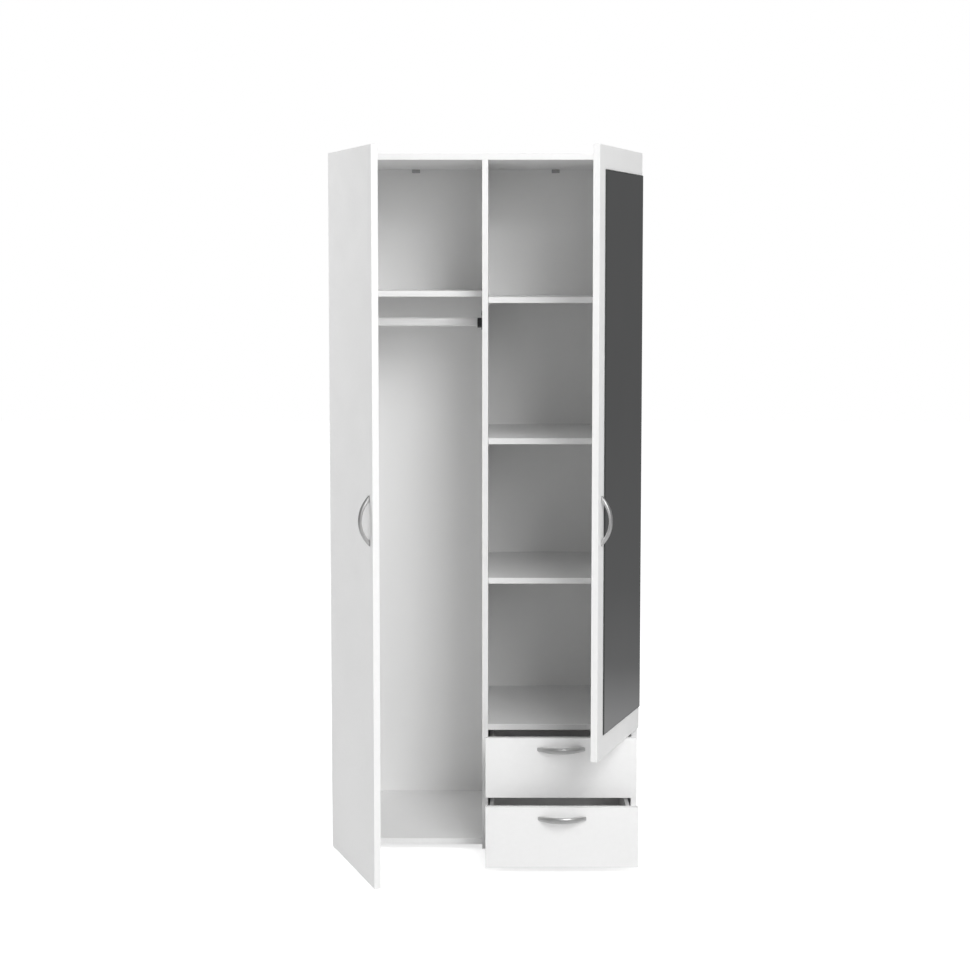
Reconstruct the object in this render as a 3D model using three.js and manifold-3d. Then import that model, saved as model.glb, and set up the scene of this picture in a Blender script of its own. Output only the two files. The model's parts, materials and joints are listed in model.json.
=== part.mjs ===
// A free-standing wardrobe of white foil-covered chipboard: a hanging compartment with a hat shelf behind the
// left door, a compartment of adjustable shelves behind the right door, and two drawers under the right door.
//
// Frame: +X to the right of someone facing the wardrobe, +Y to its back, +Z up. The origin is on the floor,
// under the middle of the centre partition. The doors stand ajar and the drawers are part way out.
// Inside the door and drawer groups, every piece is placed where it is with the door or drawer shut.

import * as THREE from "three";
import { mergeVertices } from "three/addons/utils/BufferGeometryUtils.js";
import Module from "manifold-3d";

// Driving dimensions, millimetres and degrees.
const WIDTH = 768;
const HEIGHT = 1754;
const DEPTH = 470; // sides, top and partition, without the doors
const BOARD = 15;
const SKID = 3;

const TOE_SPACE = 15; // from the floor to the bottom panels
const FRONT_GAP = 2; // between the carcass and a shut door or drawer front
const FRONT_BOARD = 16; // doors and drawer fronts
const FRONT_WIDTH = 373;
const FRONT_REVEAL = 2.5; // between a front and the one above it
const FRONT_INNER_EDGE = 1.3; // of a shut door or drawer front, from the middle of the wardrobe
const DOOR_TURN = { left: 70, right: 70.7 }; // how far each door stands open
const DRAWER_OUT = { lower: 177, upper: 100 }; // how far each drawer stands open

const HARDBOARD = 3;
const BACK_GROOVE = { depth: 5, width: 3.2, fromRear: 10.8 };
const SLIP = 0.3; // play around a panel in its groove, and under what is fixed to a door

const DRAWER_SHELF_Z = 310; // undersides of the shelves
const HAT_SHELF_Z = 1401;
const SHELVES_Z = { lower: 682.5, middle: 1034.5, upper: 1386.5 };
const HAT_SHELF_SETBACK = 105; // its front edge behind the front plane, to clear the hangers' hooks
const SHELF_SETBACK = 5;
const SHELF_PLAY = 0.5;

const PIN_HOLE = { radius: 2.5, depth: 9, fromFront: 37, fromRear: 60, pitch: 32 };

const RAIL = { z: 1334.8, fromFront: 225, height: 22.4, width: 12.5, wall: 1.2, engagement: 8 };
const SOCKET = { wall: 4.2, plate: 2.5, length: 12, rimDrop: 1, earAbove: 29, earBelow: 21, earWidth: 16 };

const MIRROR = { width: 327, thickness: 3, margin: 55, fromHingeEdge: 1 };

const KNUCKLE = { radius: 4, fromFrontPlane: 8, fromDoorEdge: 4.3, length: 50, middle: 14 };
const HINGE_PIN = { radius: 1.5, bore: 1.8, length: 53 };
const LEAF = { thickness: 1.5, onSide: 25, onDoor: 22, gap: 0.3 };
const HINGES_Z = { left: [115, 628, 1141, 1654], right: [420, 990, 1654] };

const HANDLE = { length: 119, projection: 26, thickness: 5.5, foot: 14, band: 12.5 };
const DOOR_HANDLE = { z: 885.5, fromFreeEdge: 28 };
const DRAWER_HANDLE_DROP = 28; // from the front's top edge

const DRAWER = {
  frontHeight: 150,
  boxHeight: 90,
  boxRaise: 19, // of the box above the front's lower edge
  boxLength: 432,
  side: 10,
  clearance: 5, // between the box and the compartment wall
  bottomRaise: 8, // of the bottom above the box's lower edge
  bottomGroove: 4,
  bottomPlay: 0.1, // under the bottom in its groove
};
const RUNNER = { height: 10, raise: 34.5, play: 0.5, fromFront: 20, length: 400 };
const RUNNER_GROOVE = { depth: 5, lead: 8 };
const BACK_CLIP = { width: 21, height: 9, depth: 10, lip: 2, toe: 3 };

// Derived places.
const FRONT = -DEPTH / 2;
const REAR = DEPTH / 2;
const SIDE_INNER = WIDTH / 2 - BOARD;
const HALF_BOARD = BOARD / 2;
const BACK_FACE = REAR - BACK_GROOVE.fromRear - BACK_GROOVE.width; // the back panel's inner face
const CEILING = HEIGHT - BOARD;
const HINGE_EDGE = FRONT_INNER_EDGE + FRONT_WIDTH;
const DOOR_REAR = FRONT - FRONT_GAP;
const DOOR_FACE = DOOR_REAR - FRONT_BOARD;
const PIVOT = { x: HINGE_EDGE + KNUCKLE.fromDoorEdge, y: FRONT - KNUCKLE.fromFrontPlane };
const DRAWER_PITCH = DRAWER.frontHeight + FRONT_REVEAL;
const DRAWERS_TOP = TOE_SPACE + DRAWER_PITCH + DRAWER.frontHeight;
const RIGHT_DOOR_BOTTOM = DRAWERS_TOP + FRONT_REVEAL;
const CELL_MIDDLE = (SIDE_INNER + HALF_BOARD) / 2;

const OVERCUT = 1; // how far a cutting solid runs past the face that it opens
const FACETS = { hole: 10, knuckle: 20, pin: 12, halfCircle: 8, bow: 9 };

const wasm = await Module();
wasm.setup();

// Materials.
const finish = (color, roughness, metalness = 0) =>
  new THREE.MeshStandardMaterial({ color, roughness, metalness, flatShading: true });
const MATERIAL = {
  foil: () => finish(0xf3f3f1, 0.45),
  hardboard: () => finish(0xe9e9e6, 0.6),
  whitePlastic: () => finish(0xeeeeea, 0.4),
  greyPlastic: () => finish(0x9b9da0, 0.5),
  darkPlastic: () => finish(0x34363a, 0.5),
  rail: () => finish(0xe4e5e6, 0.3),
  steel: () => finish(0xb4b6b8, 0.35, 1),
  handle: () => finish(0xb9bbbd, 0.32, 1),
  mirror: () => finish(0x8d9196, 0.04, 1),
};

// Geometry helpers. A range is [low, high]; a block is three ranges.

function blockGeometry(x, y, z) {
  const geometry = new THREE.BoxGeometry(x[1] - x[0], y[1] - y[0], z[1] - z[0]);
  return geometry.translate((x[0] + x[1]) / 2, (y[0] + y[1]) / 2, (z[0] + z[1]) / 2);
}

function rodGeometry(axis, radius, span, centre, segments) {
  const geometry = new THREE.CylinderGeometry(radius, radius, span[1] - span[0], segments);
  const middle = (span[0] + span[1]) / 2;
  if (axis === "x") return geometry.rotateZ(-Math.PI / 2).translate(middle, centre[0], centre[1]);
  return geometry.rotateX(Math.PI / 2).translate(centre[0], centre[1], middle);
}

function solidOf(geometry) {
  const bare = geometry.clone().deleteAttribute("normal").deleteAttribute("uv");
  const merged = mergeVertices(bare, 1e-4);
  const vertProperties = new Float32Array(merged.attributes.position.array);
  const triVerts = new Uint32Array(merged.index.array);
  return new wasm.Manifold(new wasm.Mesh({ numProp: 3, vertProperties, triVerts }));
}

function geometryOf(solid) {
  const { vertProperties, triVerts } = solid.getMesh();
  const geometry = new THREE.BufferGeometry();
  geometry.setAttribute("position", new THREE.BufferAttribute(vertProperties, 3));
  geometry.setIndex(new THREE.BufferAttribute(triVerts, 1));
  return geometry;
}

function joined(geometries, cuts = []) {
  const [first, ...rest] = geometries.map(solidOf);
  const whole = rest.reduce((sum, next) => sum.add(next), first);
  return geometryOf(cuts.map(solidOf).reduce((left, cut) => left.subtract(cut), whole));
}

function mesh(name, geometry, material) {
  const made = new THREE.Mesh(geometry, material);
  made.name = name;
  return made;
}

function board(name, x, y, z, material, cuts = []) {
  const block = blockGeometry(x, y, z);
  return mesh(name, cuts.length ? joined([block], cuts) : block, material);
}

// A range of X given for the right-hand side, mirrored for the left when side is -1.
const across = (side, near, far) => (side > 0 ? [near, far] : [-far, -near]);
const about = (middle, size) => [middle - size / 2, middle + size / 2];
const ordered = (a, b) => [Math.min(a, b), Math.max(a, b)];

// Carcass.

function backGrooveCut(x) {
  return blockGeometry(x, [BACK_FACE, BACK_FACE + BACK_GROOVE.width], [0, HEIGHT]);
}

// Three holes at each adjustable shelf, one pitch apart, in a front row and a rear row.
function pinHoleCuts(x) {
  const rows = [FRONT + PIN_HOLE.fromFront, BACK_FACE - PIN_HOLE.fromRear];
  const cuts = [];
  for (const shelf of Object.values(SHELVES_Z)) {
    for (const step of [-1, 0, 1]) {
      for (const y of rows) {
        const z = shelf - PIN_HOLE.radius + step * PIN_HOLE.pitch;
        cuts.push(rodGeometry("x", PIN_HOLE.radius, x, [y, z], FACETS.hole));
      }
    }
  }
  return cuts;
}

function sidePanel(name, side) {
  const groove = across(side, SIDE_INNER - OVERCUT, SIDE_INNER + BACK_GROOVE.depth);
  const cuts = [backGrooveCut(groove)];
  if (side > 0) cuts.push(...pinHoleCuts([SIDE_INNER - OVERCUT, SIDE_INNER + PIN_HOLE.depth]));
  const x = across(side, SIDE_INNER, WIDTH / 2);
  return board(name, x, [FRONT, REAR], [SKID, CEILING], MATERIAL.foil(), cuts);
}

function centrePartition() {
  const web = HALF_BOARD - BACK_GROOVE.depth;
  const cuts = [
    backGrooveCut([-HALF_BOARD - OVERCUT, -web]),
    backGrooveCut([web, HALF_BOARD + OVERCUT]),
    ...pinHoleCuts([HALF_BOARD - PIN_HOLE.depth, HALF_BOARD + OVERCUT]),
  ];
  const x = [-HALF_BOARD, HALF_BOARD];
  return board("centre_partition", x, [FRONT, REAR], [SKID, CEILING], MATERIAL.foil(), cuts);
}

function topPanel() {
  const y = [BACK_FACE, BACK_FACE + BACK_GROOVE.width];
  const z = [CEILING - OVERCUT, CEILING + BACK_GROOVE.depth];
  const grooves = [-1, 1].map((side) => {
    const wall = HALF_BOARD - BACK_GROOVE.depth;
    return blockGeometry(across(side, wall, SIDE_INNER + BACK_GROOVE.depth), y, z);
  });
  const x = [-WIDTH / 2, WIDTH / 2];
  return board("top_panel", x, [FRONT, REAR], [CEILING, HEIGHT], MATERIAL.foil(), grooves);
}

// A panel fixed between a side and the partition, from its setback behind the front plane to the back panel.
function fixedPanel(name, side, z, setback = 0) {
  const x = across(side, HALF_BOARD, SIDE_INNER);
  return board(name, x, [FRONT + setback, BACK_FACE], [z, z + BOARD], MATERIAL.foil());
}

function adjustableShelf(name, z) {
  const x = [HALF_BOARD + SHELF_PLAY, SIDE_INNER - SHELF_PLAY];
  const y = [FRONT + SHELF_SETBACK, BACK_FACE - SHELF_PLAY];
  return board(`shelf_${name}`, x, y, [z, z + BOARD], MATERIAL.foil());
}

function backPanel(name, side) {
  const near = HALF_BOARD - BACK_GROOVE.depth + SLIP;
  const x = across(side, near, SIDE_INNER + BACK_GROOVE.depth - SLIP);
  const y = [BACK_FACE, BACK_FACE + HARDBOARD];
  const z = [TOE_SPACE, CEILING + BACK_GROOVE.depth - SLIP];
  return board(name, x, y, z, MATERIAL.hardboard());
}

// A wedge in the corner between the ceiling and the back panel.
function backClip(name, side) {
  const outline = new THREE.Shape();
  outline.moveTo(0, 0);
  outline.lineTo(-BACK_CLIP.depth, 0);
  outline.lineTo(-BACK_CLIP.depth, -BACK_CLIP.lip);
  outline.lineTo(-BACK_CLIP.toe, -BACK_CLIP.height);
  outline.lineTo(0, -BACK_CLIP.height);
  outline.closePath();
  const wedge = extrudedAlongX(outline, about(side * CELL_MIDDLE, BACK_CLIP.width));
  const clip = mesh(name, wedge, MATERIAL.greyPlastic());
  clip.position.set(0, BACK_FACE - SLIP, CEILING - SLIP);
  return clip;
}

function floorSkid(name, x) {
  return board(name, x, [FRONT + BOARD, REAR - BOARD], [0, SKID], MATERIAL.whitePlastic());
}

// Clothes rail: an upright oval tube, open at its ends, lying in two cradles that are open at the top.

// An upright oval with straight flanks, its first axis along Y and its second along Z.
function ovalPath(path, width, height) {
  const radius = width / 2;
  const straight = height / 2 - radius;
  path.absarc(0, straight, radius, 0, Math.PI, false);
  path.absarc(0, -straight, radius, Math.PI, 2 * Math.PI, false);
  path.closePath();
  return path;
}

// Extrudes an outline in Y and Z along X, over the given range.
function extrudedAlongX(shape, x) {
  const options = { depth: x[1] - x[0], bevelEnabled: false, curveSegments: FACETS.halfCircle };
  const geometry = new THREE.ExtrudeGeometry(shape, options);
  return geometry.rotateX(Math.PI / 2).rotateZ(Math.PI / 2).translate(x[0], 0, 0);
}

function clothesRail() {
  const tube = ovalPath(new THREE.Shape(), RAIL.width, RAIL.height);
  tube.holes.push(ovalPath(new THREE.Path(), RAIL.width - 2 * RAIL.wall, RAIL.height - 2 * RAIL.wall));
  const seat = SOCKET.length - RAIL.engagement;
  const length = [seat - SIDE_INNER, -HALF_BOARD - seat];
  const rail = mesh("clothes_rail", extrudedAlongX(tube, length), MATERIAL.rail());
  rail.position.set(0, FRONT + RAIL.fromFront, RAIL.z);
  return rail;
}

// A cradle around the rail's flanks and underside, on a screw plate with an ear above and below.
function railSocket(name, wall, inward) {
  const radius = RAIL.width / 2 + SOCKET.wall;
  const bottom = RAIL.width / 2 - RAIL.height / 2;
  const rim = RAIL.height / 2 - SOCKET.rimDrop;
  const cradle = new THREE.Shape();
  cradle.moveTo(radius, rim);
  cradle.lineTo(-radius, rim);
  cradle.absarc(0, bottom, radius, Math.PI, 2 * Math.PI, false);
  cradle.closePath();
  const channel = new THREE.Shape();
  const clear = RAIL.width / 2 + SLIP;
  channel.moveTo(clear, rim + OVERCUT);
  channel.lineTo(-clear, rim + OVERCUT);
  channel.absarc(0, bottom, clear, Math.PI, 2 * Math.PI, false);
  channel.closePath();
  const plate = ovalPath(new THREE.Shape(), SOCKET.earWidth, SOCKET.earAbove + SOCKET.earBelow);

  const along = (from, to) => ordered(wall + inward * from, wall + inward * to);
  const plateAt = extrudedAlongX(plate, along(0, SOCKET.plate));
  plateAt.translate(0, 0, (SOCKET.earAbove - SOCKET.earBelow) / 2);
  const body = extrudedAlongX(cradle, along(0, SOCKET.length));
  const cut = extrudedAlongX(channel, along(SOCKET.plate, SOCKET.length + OVERCUT));
  const socket = mesh(name, joined([body, plateAt], [cut]), MATERIAL.darkPlastic());
  socket.position.set(0, FRONT + RAIL.fromFront, RAIL.z);
  return socket;
}

// Hinges. Both leaves cross the gap between the door and the carcass, at different heights, to a knuckle that
// stands beside the door's edge. The frame leaf carries the two outer knuckles and the pin, and between its
// two arms it keeps behind the front plane, clear of the door leaf's arm.

function frameLeaf(name, side, z) {
  const inner = SIDE_INNER - LEAF.thickness;
  const gooseneck = about(side * PIVOT.x, LEAF.thickness);
  const plateX = across(side, inner, SIDE_INNER);
  const parts = [blockGeometry(plateX, [FRONT, FRONT + LEAF.onSide], about(z, KNUCKLE.length))];
  const reach = (KNUCKLE.length - KNUCKLE.middle) / 2;
  for (const end of [-1, 1]) {
    const middle = z + (end * (KNUCKLE.length - reach)) / 2;
    const span = about(middle, reach);
    const arm = across(side, inner, PIVOT.x + LEAF.thickness / 2);
    parts.push(blockGeometry(plateX, [FRONT - LEAF.thickness, FRONT + LEAF.thickness], span));
    parts.push(blockGeometry(arm, [FRONT - LEAF.thickness, FRONT], span));
    parts.push(blockGeometry(gooseneck, [PIVOT.y, FRONT], span));
    parts.push(rodGeometry("z", KNUCKLE.radius, span, [side * PIVOT.x, PIVOT.y], FACETS.knuckle));
  }
  const pinLength = about(z, HINGE_PIN.length);
  parts.push(rodGeometry("z", HINGE_PIN.radius, pinLength, [side * PIVOT.x, PIVOT.y], FACETS.pin));
  return mesh(name, joined(parts), MATERIAL.steel());
}

function doorLeaf(name, side, z) {
  const plateEdge = SIDE_INNER - LEAF.thickness - 1;
  const y = [DOOR_REAR + LEAF.gap, DOOR_REAR + LEAF.gap + LEAF.thickness];
  const middle = about(z, KNUCKLE.middle - 2 * LEAF.gap);
  const plate = blockGeometry(across(side, plateEdge - LEAF.onDoor, plateEdge), y, about(z, KNUCKLE.length));
  const arm = blockGeometry(across(side, plateEdge - 1, PIVOT.x + LEAF.thickness / 2), y, middle);
  const gooseneck = blockGeometry(about(side * PIVOT.x, LEAF.thickness), [PIVOT.y, y[1]], middle);
  const knuckle = rodGeometry("z", KNUCKLE.radius, middle, [side * PIVOT.x, PIVOT.y], FACETS.knuckle);
  const through = about(z, KNUCKLE.middle + OVERCUT);
  const bore = rodGeometry("z", HINGE_PIN.bore, through, [side * PIVOT.x, PIVOT.y], FACETS.pin);
  return mesh(name, joined([plate, arm, gooseneck, knuckle], [bore]), MATERIAL.steel());
}

// A bow handle: a crescent between two arcs, extruded to the band's width. It stands on the face Y = 0, bows
// out to -Y and is long in X.
function bowHandleGeometry() {
  const arc = (halfChord, rise) => {
    const radius = (halfChord ** 2 + rise ** 2) / (2 * rise);
    return { radius, centre: rise - radius, start: Math.atan2(radius - rise, halfChord) };
  };
  const outer = arc(HANDLE.length / 2, HANDLE.projection);
  const inner = arc(HANDLE.length / 2 - HANDLE.foot, HANDLE.projection - HANDLE.thickness);
  const crescent = new THREE.Shape();
  crescent.absarc(0, outer.centre, outer.radius, outer.start, Math.PI - outer.start, false);
  crescent.lineTo(-(HANDLE.length / 2 - HANDLE.foot), 0);
  crescent.absarc(0, inner.centre, inner.radius, Math.PI - inner.start, inner.start, true);
  crescent.closePath();
  const options = { depth: HANDLE.band, bevelEnabled: false, curveSegments: FACETS.bow };
  const bow = new THREE.ExtrudeGeometry(crescent, options);
  return bow.translate(0, 0, -HANDLE.band / 2).rotateX(Math.PI);
}

function doorHandle(name, side) {
  const handle = mesh(name, bowHandleGeometry().rotateY(Math.PI / 2), MATERIAL.handle());
  const x = side * (FRONT_INNER_EDGE + DOOR_HANDLE.fromFreeEdge);
  handle.position.set(x, DOOR_FACE - SLIP, DOOR_HANDLE.z);
  return handle;
}

// Doors.

function hingedGroup(side, turn) {
  const leaf = new THREE.Group();
  leaf.position.set(-side * PIVOT.x, -PIVOT.y, 0);
  const swing = new THREE.Group();
  swing.position.set(side * PIVOT.x, PIVOT.y, 0);
  swing.rotation.z = side * THREE.MathUtils.degToRad(turn);
  swing.add(leaf);
  return { swing, leaf };
}

function door(word, side, bottom) {
  const { swing, leaf } = hingedGroup(side, DOOR_TURN[word]);
  const x = across(side, FRONT_INNER_EDGE, HINGE_EDGE);
  leaf.add(board(`${word}_door`, x, [DOOR_FACE, DOOR_REAR], [bottom, HEIGHT], MATERIAL.foil()));
  leaf.add(doorHandle(`${word}_door_handle`, side));
  HINGES_Z[word].forEach((z, i) => {
    leaf.add(doorLeaf(`${word}_hinge_${i + 1}_door_leaf`, side, z));
  });
  return { swing, leaf };
}

function mirror() {
  const outer = HINGE_EDGE - MIRROR.fromHingeEdge;
  const y = [DOOR_FACE - SLIP - MIRROR.thickness, DOOR_FACE - SLIP];
  const z = [RIGHT_DOOR_BOTTOM + MIRROR.margin, HEIGHT - MIRROR.margin];
  return board("mirror", [outer - MIRROR.width, outer], y, z, MATERIAL.mirror());
}

// Drawers.

function drawerSide(name, x, inward, base) {
  const lower = base + DRAWER.boxRaise;
  const outerFace = inward > 0 ? x[0] : x[1];
  const innerFace = inward > 0 ? x[1] : x[0];
  const slotX = ordered(outerFace - inward * OVERCUT, outerFace + inward * RUNNER_GROOVE.depth);
  const slotZ = [lower + RUNNER.raise - RUNNER.play, lower + RUNNER.raise + RUNNER.height + RUNNER.play];
  const slotY = [FRONT + RUNNER.fromFront - RUNNER_GROOVE.lead, DOOR_REAR + DRAWER.boxLength + OVERCUT];
  const panelX = ordered(innerFace - inward * DRAWER.bottomGroove, innerFace + inward * OVERCUT);
  const panelZ = [lower + DRAWER.bottomRaise, lower + DRAWER.bottomRaise + BACK_GROOVE.width];
  const cuts = [
    blockGeometry(slotX, slotY, slotZ),
    blockGeometry(panelX, [DOOR_REAR - OVERCUT, DOOR_REAR + DRAWER.boxLength + OVERCUT], panelZ),
  ];
  const y = [DOOR_REAR, DOOR_REAR + DRAWER.boxLength];
  return board(name, x, y, [lower, lower + DRAWER.boxHeight], MATERIAL.foil(), cuts);
}

function drawer(word, base) {
  const group = new THREE.Group();
  group.position.y = -DRAWER_OUT[word];
  const named = (part) => `${word}_drawer_${part}`;
  const left = HALF_BOARD + DRAWER.clearance;
  const right = SIDE_INNER - DRAWER.clearance;
  const inner = [left + DRAWER.side, right - DRAWER.side];
  const lower = base + DRAWER.boxRaise;
  const panelZ = lower + DRAWER.bottomRaise;
  const boxRear = DOOR_REAR + DRAWER.boxLength;

  const bottomX = [inner[0] - DRAWER.bottomGroove + SLIP, inner[1] + DRAWER.bottomGroove - SLIP];
  const frontX = [FRONT_INNER_EDGE, HINGE_EDGE];
  const frontSlot = blockGeometry(
    [bottomX[0] - SLIP, bottomX[1] + SLIP],
    [DOOR_REAR - DRAWER.bottomGroove, DOOR_REAR + OVERCUT],
    [panelZ, panelZ + BACK_GROOVE.width],
  );
  const frontZ = [base, base + DRAWER.frontHeight];
  group.add(board(named("front"), frontX, [DOOR_FACE, DOOR_REAR], frontZ, MATERIAL.foil(), [frontSlot]));
  group.add(drawerSide(named("side_left"), [left, inner[0]], 1, base));
  group.add(drawerSide(named("side_right"), [inner[1], right], -1, base));
  const backZ = [panelZ + BACK_GROOVE.width, lower + DRAWER.boxHeight];
  group.add(board(named("back"), inner, [boxRear - DRAWER.side, boxRear], backZ, MATERIAL.foil()));
  const bottomY = [DOOR_REAR - DRAWER.bottomGroove + SLIP, boxRear - 2 * SLIP];
  const bottomZ = [panelZ + DRAWER.bottomPlay, panelZ + DRAWER.bottomPlay + HARDBOARD];
  group.add(board(named("bottom"), bottomX, bottomY, bottomZ, MATERIAL.hardboard()));

  const handle = mesh(named("handle"), bowHandleGeometry(), MATERIAL.handle());
  handle.position.set(CELL_MIDDLE, DOOR_FACE, frontZ[1] - DRAWER_HANDLE_DROP);
  group.add(handle);
  return group;
}

// A strip on the compartment wall that a drawer's side slides on.
function runner(name, side, base) {
  const wall = side > 0 ? SIDE_INNER : HALF_BOARD;
  const tip = wall - side * (DRAWER.clearance + RUNNER_GROOVE.depth - RUNNER.play);
  const z = base + DRAWER.boxRaise + RUNNER.raise;
  const y = [FRONT + RUNNER.fromFront, FRONT + RUNNER.fromFront + RUNNER.length];
  const x = [wall, tip].sort((a, b) => a - b);
  return board(name, x, y, [z, z + RUNNER.height], MATERIAL.whitePlastic());
}

// The whole wardrobe.

const wardrobe = new THREE.Group();

wardrobe.add(sidePanel("left_side", -1));
wardrobe.add(sidePanel("right_side", 1));
wardrobe.add(centrePartition());
wardrobe.add(topPanel());
wardrobe.add(fixedPanel("bottom_panel_left", -1, TOE_SPACE));
wardrobe.add(fixedPanel("bottom_panel_right", 1, TOE_SPACE));
wardrobe.add(fixedPanel("hat_shelf", -1, HAT_SHELF_Z, HAT_SHELF_SETBACK));
wardrobe.add(fixedPanel("drawer_top_shelf", 1, DRAWER_SHELF_Z));
for (const [name, z] of Object.entries(SHELVES_Z)) {
  wardrobe.add(adjustableShelf(name, z));
}
wardrobe.add(backPanel("back_panel_left", -1));
wardrobe.add(backPanel("back_panel_right", 1));
wardrobe.add(backClip("back_clip_left", -1));
wardrobe.add(backClip("back_clip_right", 1));
wardrobe.add(floorSkid("floor_skid_left", across(-1, SIDE_INNER, WIDTH / 2)));
wardrobe.add(floorSkid("floor_skid_middle", [-HALF_BOARD, HALF_BOARD]));
wardrobe.add(floorSkid("floor_skid_right", across(1, SIDE_INNER, WIDTH / 2)));

wardrobe.add(clothesRail());
wardrobe.add(railSocket("rail_socket_left", -SIDE_INNER, 1));
wardrobe.add(railSocket("rail_socket_right", -HALF_BOARD, -1));

for (const [word, side] of [["left", -1], ["right", 1]]) {
  HINGES_Z[word].forEach((z, i) => {
    wardrobe.add(frameLeaf(`${word}_hinge_${i + 1}_frame_leaf`, side, z));
  });
}

const leftDoor = door("left", -1, TOE_SPACE);
wardrobe.add(leftDoor.swing);

const rightDoor = door("right", 1, RIGHT_DOOR_BOTTOM);
rightDoor.leaf.add(mirror());
wardrobe.add(rightDoor.swing);

const DRAWER_BASES = { lower: TOE_SPACE, upper: TOE_SPACE + DRAWER_PITCH };
for (const [word, base] of Object.entries(DRAWER_BASES)) {
  wardrobe.add(drawer(word, base));
  wardrobe.add(runner(`${word}_runner_left`, -1, base));
  wardrobe.add(runner(`${word}_runner_right`, 1, base));
}

export default wardrobe;
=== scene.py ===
import json
import math

import bmesh
import bpy
from mathutils import Matrix, Vector


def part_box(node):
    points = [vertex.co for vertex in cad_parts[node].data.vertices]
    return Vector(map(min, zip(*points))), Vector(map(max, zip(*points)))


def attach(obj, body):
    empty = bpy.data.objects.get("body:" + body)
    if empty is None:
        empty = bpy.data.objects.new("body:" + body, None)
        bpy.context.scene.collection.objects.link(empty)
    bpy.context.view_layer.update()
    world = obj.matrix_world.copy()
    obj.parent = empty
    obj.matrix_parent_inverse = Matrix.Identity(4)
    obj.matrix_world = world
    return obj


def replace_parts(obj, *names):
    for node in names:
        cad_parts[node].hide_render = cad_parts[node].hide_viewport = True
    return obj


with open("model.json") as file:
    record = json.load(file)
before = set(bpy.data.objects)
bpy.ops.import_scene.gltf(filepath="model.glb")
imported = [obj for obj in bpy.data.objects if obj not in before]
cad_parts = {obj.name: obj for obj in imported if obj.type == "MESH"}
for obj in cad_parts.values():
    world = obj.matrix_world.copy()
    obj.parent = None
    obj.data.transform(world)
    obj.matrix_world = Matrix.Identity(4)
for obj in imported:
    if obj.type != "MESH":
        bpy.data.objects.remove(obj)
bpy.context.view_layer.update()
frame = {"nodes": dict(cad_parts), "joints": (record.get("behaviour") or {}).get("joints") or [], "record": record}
NODES = frame["nodes"]
JOINTS = {joint["name"]: joint for joint in frame["joints"]}
SLOTS = [entry["slot"] for entry in frame["record"]["materials"]]


def packed_slot(obj):
    """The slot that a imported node's material is named after."""
    packed_name = obj.data.materials[0].name
    return next(slot for slot in SLOTS if packed_name.startswith(slot))


SLOT_OF = {name: packed_slot(obj) for name, obj in NODES.items()}
for packed in list(bpy.data.materials):
    packed.name = "packed_" + packed.name

MM = 0.001
QUARTER = math.pi / 2


# ---------------------------------------------------------------- node helpers
MIX_A, MIX_B, MIX_RESULT = 6, 7, 2  # the Mix node's sockets when it mixes colours


def set_ramp(node, stops):
    """Gives a colour ramp its stops: (place, (red, green, blue))."""
    elements = node.color_ramp.elements
    while len(elements) < len(stops):
        elements.new(0.5)
    for element, (place, colour) in zip(elements, stops):
        element.position = place
        element.color = (*colour, 1)


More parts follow.
